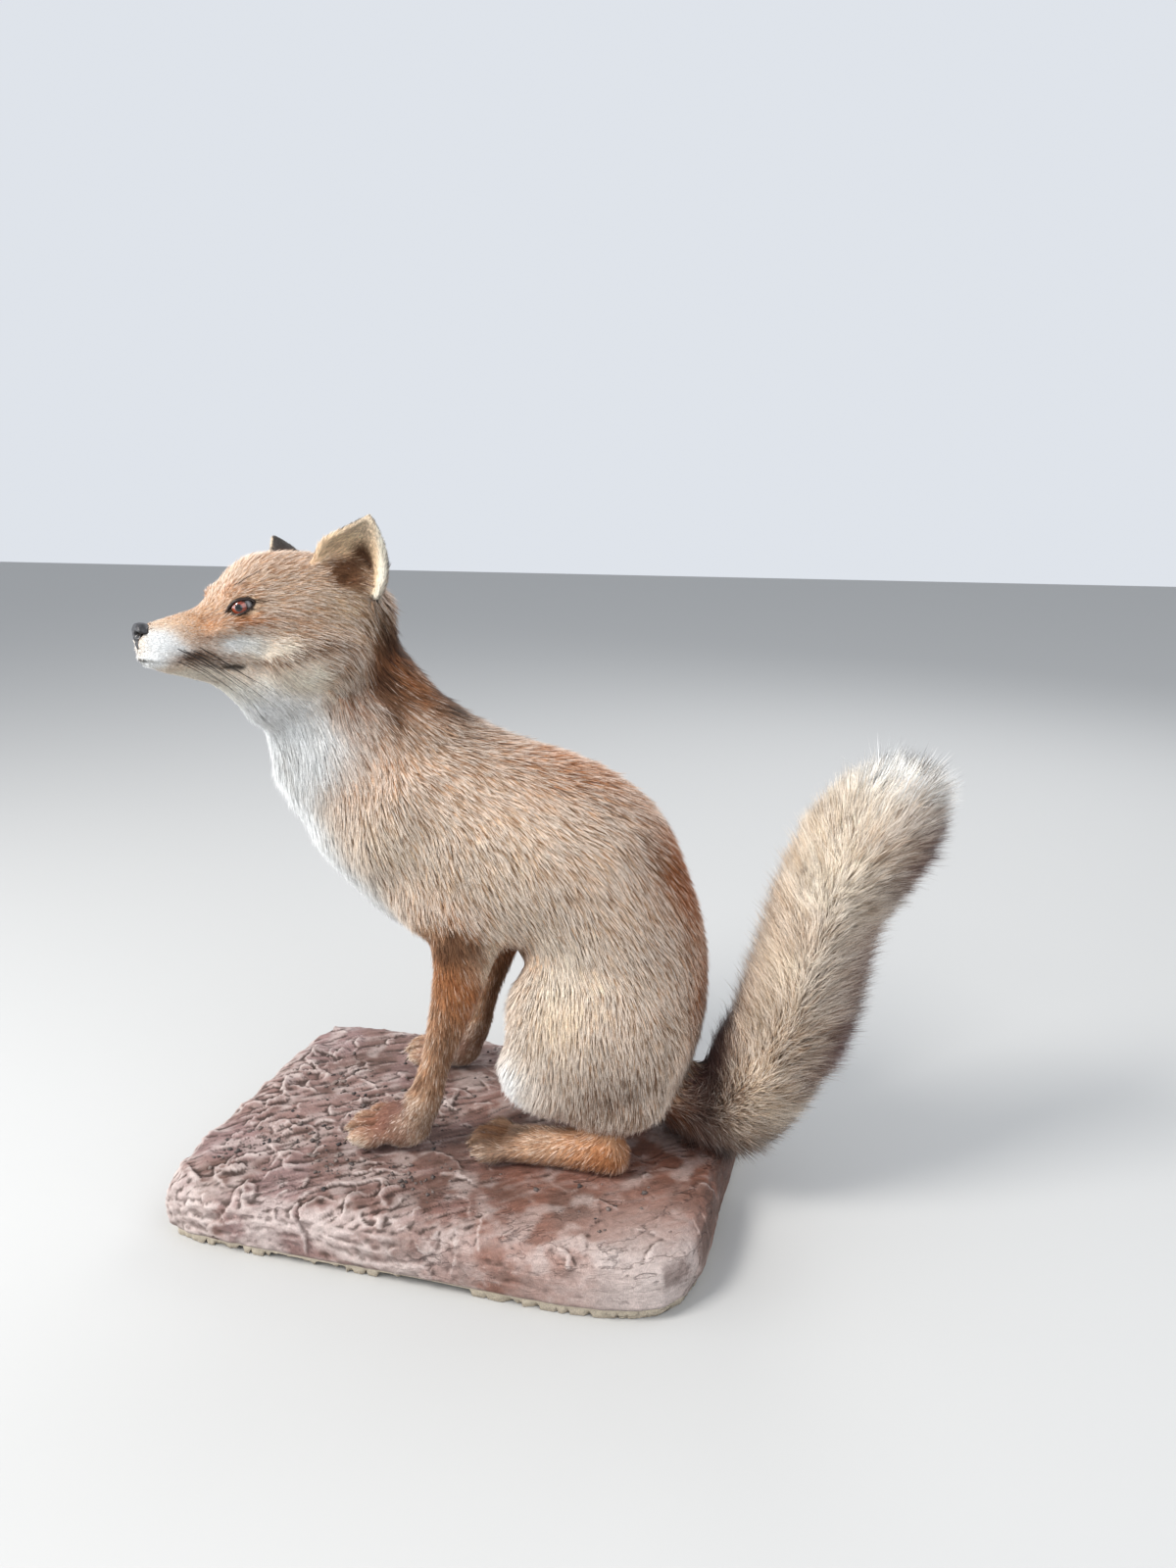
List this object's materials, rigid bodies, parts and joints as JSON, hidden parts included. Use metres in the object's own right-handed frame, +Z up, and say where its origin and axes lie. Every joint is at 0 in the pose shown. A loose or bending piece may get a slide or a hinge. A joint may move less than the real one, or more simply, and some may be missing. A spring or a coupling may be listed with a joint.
{
  "type": "mounted taxidermy fox",
  "caption": "Life-size mounted red fox seated upright, head turned to its left, bushy tail raised behind, on a slab of painted modelled ground.",
  "frame": {"origin": "middle of the slab's flat underside", "axes": "+Z up; the fox sits facing -X with its left side towards -Y and its tail towards +X"},
  "size_m": [0.5514, 0.2862, 0.5288],
  "materials": {
    "groundwork": "painted and varnished paper and plaster groundwork, flaked, purplish brown with cream wear",
    "head_coat": "short red-tan fur, grizzled",
    "body_coat": "sandy tan fur with pale tips, rusty along the back",
    "leg_coat": "short rusty brown fur",
    "paw_coat": "short dark brown fur",
    "tail_coat": "long cream and dusky brown fur",
    "ear_coat": "cream hair inside, black velvet fur behind",
    "nose_leather": "dry dark grey leather",
    "eye_glass": "glossy amber glass with a dark pupil"
  },
  "bodies": {
    "root": {"base": "groundwork", "ear_left": "ear_coat", "ear_right": "ear_coat", "eye_left": "eye_glass", "eye_right": "eye_glass", "foreleg_left": "leg_coat", "foreleg_right": "leg_coat", "forepaw_left": "paw_coat", "forepaw_right": "paw_coat", "head": "head_coat", "hindfoot_left": "leg_coat", "hindfoot_right": "leg_coat", "neck": "body_coat", "nose": "nose_leather", "tail_middle": "tail_coat", "tail_root": "tail_coat", "tail_tip": "tail_coat", "thigh_left": "body_coat", "thigh_right": "body_coat", "trunk": "body_coat"}
  },
  "joints": []
}
